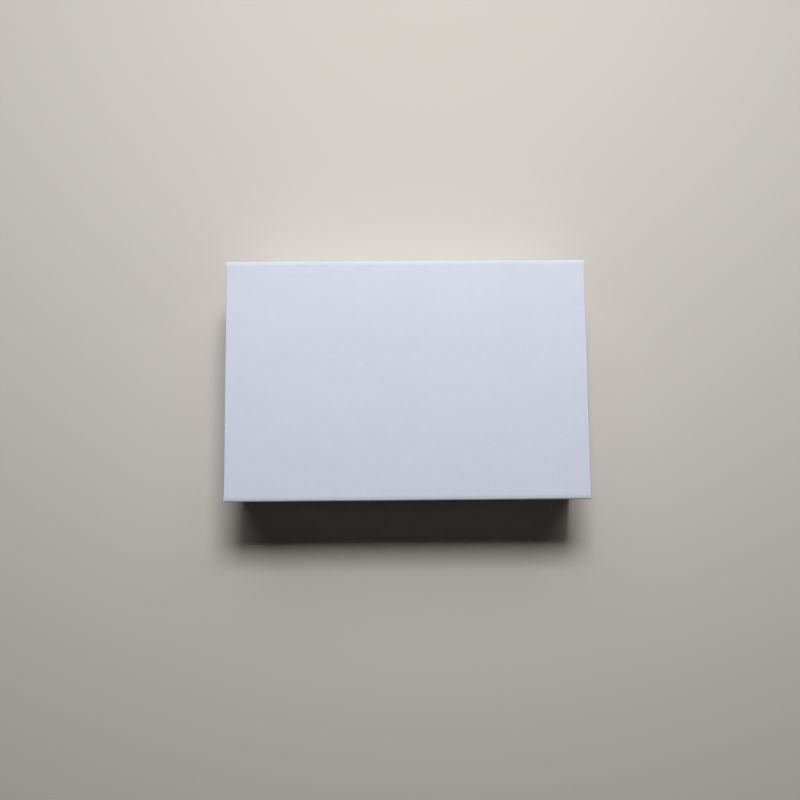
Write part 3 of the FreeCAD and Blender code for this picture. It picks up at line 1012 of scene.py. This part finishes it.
def puff(piece, loose):
    # the satin is fast round the card, and pressure rounds the face
    pinned = piece.vertex_groups.new(name="glued")
    pinned.add(list(range(loose, len(piece.data.vertices))), 1.0, "REPLACE")
    cloth = piece.modifiers.new("puff", "CLOTH")
    settings = cloth.settings
    settings.vertex_group_mass = "glued"
    settings.use_pressure = True
    settings.uniform_pressure_force = padLook["pressure"]
    settings.shrink_min = padLook["slack"]
    settings.effector_weights.gravity = 0
    settings.quality = padLook["quality"]
    settings.tension_stiffness = settings.compression_stiffness = padLook["stiffness"]
    settings.bending_stiffness = padLook["bending"]
    scene = bpy.context.scene
    for number in range(1, padLook["frames"] + 1):
        scene.frame_set(number)
    graph = bpy.context.evaluated_depsgraph_get()
    puffed = piece.evaluated_get(graph).to_mesh()
    moved = [vertex.co.copy() for vertex in puffed.vertices]
    piece.evaluated_get(graph).to_mesh_clear()
    piece.modifiers.remove(cloth)
    scene.frame_set(1)
    return moved


def makePad():
    low, high = edges("cover_pad_cushion")
    cardLow, cardHigh = edges("cover_pad_card")
    wrap = Vector((padLook["wrap"], padLook["wrap"], 0))
    base = Vector((high.x, high.y, cardHigh.z - padLook["backInset"])) + wrap
    points, faces, loose = padMesh(low - wrap, base, cardLow.z)
    mesh = bpy.data.meshes.new("coverPad")
    mesh.from_pydata([Vector(point) * mm for point in points], [], faces)
    cleanMesh(mesh)
    piece = bpy.data.objects.new("coverPad", mesh)
    bpy.context.scene.collection.objects.link(piece)
    most = padLook["mostMove"] * mm
    for vertex, place in zip(mesh.vertices[:loose], puff(piece, loose)):
        move = place - vertex.co
        vertex.co += move * min(1, most / max(move.length, most))
    print("pad puffed to", round(min(v.co.z for v in mesh.vertices) / mm, 2), "mm")
    finishPiece(piece, satin, ("cover_pad_cushion",))
    for face in mesh.polygons:
        face.use_smooth = True
    # the satin turns sharply where it is fast round the card
    glued = (cardLow.z - 0.01) * mm
    creases = mesh.attributes.new("crease_edge", "FLOAT", "EDGE")
    for edge, crease in zip(mesh.edges, creases.data):
        crease.value = float(all(mesh.vertices[index].co.z > glued for index in edge.vertices))
    smoothing = piece.modifiers.new("smooth", "SUBSURF")
    smoothing.levels = smoothing.render_levels = 1
    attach(piece, "cover")


makePad()
print("pad made")

floorLook = {
    "size": 6.0,
    "colour": (0.700, 0.650, 0.562),
    "roughness": 1.0,
    # painted light: the floor itself glows further out from the box, rising between these
    # distances
    "glowColour": (0.97, 0.98, 1.0),
    "glow": 0.42,
    "glowStart": 0.38,
    "glowEnd": 1.50,
}


def makeFloor():
    half = floorLook["size"] / 2
    mesh = bpy.data.meshes.new("floor")
    corners = [(-half, -half, 0), (half, -half, 0), (half, half, 0), (-half, half, 0)]
    mesh.from_pydata(corners, [], [(0, 1, 2, 3)])
    floor = bpy.data.objects.new("floor", mesh)
    bpy.context.scene.collection.objects.link(floor)
    material, tree, shader = newMaterial(
        "floorTile", floorLook["roughness"], Specular_IOR_Level=0.0)
    shader.inputs["Base Color"].default_value = (*floorLook["colour"], 1)
    # painted light: the floor glows more the further it is from the box
    shader.inputs["Emission Color"].default_value = (*floorLook["glowColour"], 1)
    place = tree.nodes.new("ShaderNodeTexCoord")
    distance = tree.nodes.new("ShaderNodeVectorMath")
    distance.operation = "LENGTH"
    glow = tree.nodes.new("ShaderNodeMapRange")
    glow.interpolation_type = "SMOOTHSTEP"
    glow.inputs["From Min"].default_value = floorLook["glowStart"]
    glow.inputs["From Max"].default_value = floorLook["glowEnd"]
    glow.inputs["To Max"].default_value = floorLook["glow"]
    tree.links.new(place.outputs["Object"], distance.inputs[0])
    tree.links.new(distance.outputs["Value"], glow.inputs["Value"])
    tree.links.new(glow.outputs["Result"], shader.inputs["Emission Strength"])
    mesh.materials.append(material)


makeFloor()

lightAim = Vector((0, 0, 20))  # in millimetres, as the places are
lightColour = (0.965, 1.0, 1.065)
lights = [
    # a near window pane behind the box, then the wide, dimmer sky beyond it
    {"name": "nearPane", "place": (27, 340, 668), "size": (243, 176), "power": 3.90},
    {"name": "wideSky", "place": (37, 898, 866), "size": (1413, 610), "power": 4.30},
]
for look in lights:
    lamp = bpy.data.lights.new(look["name"], "AREA")
    lamp.shape = "RECTANGLE"
    lamp.size, lamp.size_y = look["size"][0] * mm, look["size"][1] * mm
    lamp.energy = look["power"]
    lamp.color = lightColour
    holder = bpy.data.objects.new(look["name"], lamp)
    holder.location = Vector(look["place"]) * mm
    holder.rotation_euler = (Vector(look["place"]) - lightAim).to_track_quat("Z", "Y").to_euler()
    bpy.context.scene.collection.objects.link(holder)

roomLook = {"colour": (0.97, 0.985, 1.0), "overhead": 0.006, "horizon": 0.40, "reach": 0.14}


def makeRoom(look):
    # pale walls low down all round, and little light from above
    world = bpy.data.worlds.new("room")
    world.use_nodes = True
    tree = world.node_tree
    background = tree.nodes["Background"]
    background.inputs["Color"].default_value = (*look["colour"], 1)
    place = tree.nodes.new("ShaderNodeTexCoord")
    parts = tree.nodes.new("ShaderNodeSeparateXYZ")
    fade = tree.nodes.new("ShaderNodeMapRange")
    fade.interpolation_type = "SMOOTHSTEP"
    fade.inputs["From Max"].default_value = look["reach"]
    fade.inputs["To Min"].default_value = look["horizon"]
    fade.inputs["To Max"].default_value = look["overhead"]
    tree.links.new(place.outputs["Generated"], parts.inputs["Vector"])
    tree.links.new(parts.outputs["Z"], fade.inputs["Value"])
    tree.links.new(fade.outputs["Result"], background.inputs["Strength"])
    bpy.context.scene.world = world


makeRoom(roomLook)

cameraLook = {
    "place": (-7.46, -48.17, 445.9),
    "turn": (5.435, -0.54, -0.485),
    "lens": 36.16,
    "sensor": 36.0,
    "nearest": 10,
}
lens = bpy.data.cameras.new("camera")
lens.sensor_width = cameraLook["sensor"]
lens.lens = cameraLook["lens"]
lens.clip_start = cameraLook["nearest"] * mm
camera = bpy.data.objects.new("camera", lens)
camera.location = Vector(cameraLook["place"]) * mm
camera.rotation_euler = Euler([math.radians(angle) for angle in cameraLook["turn"]], "XYZ")
bpy.context.scene.collection.objects.link(camera)
bpy.context.scene.camera = camera
bpy.context.scene.view_settings.view_transform = "Standard"
print("floor, lights and camera placed")
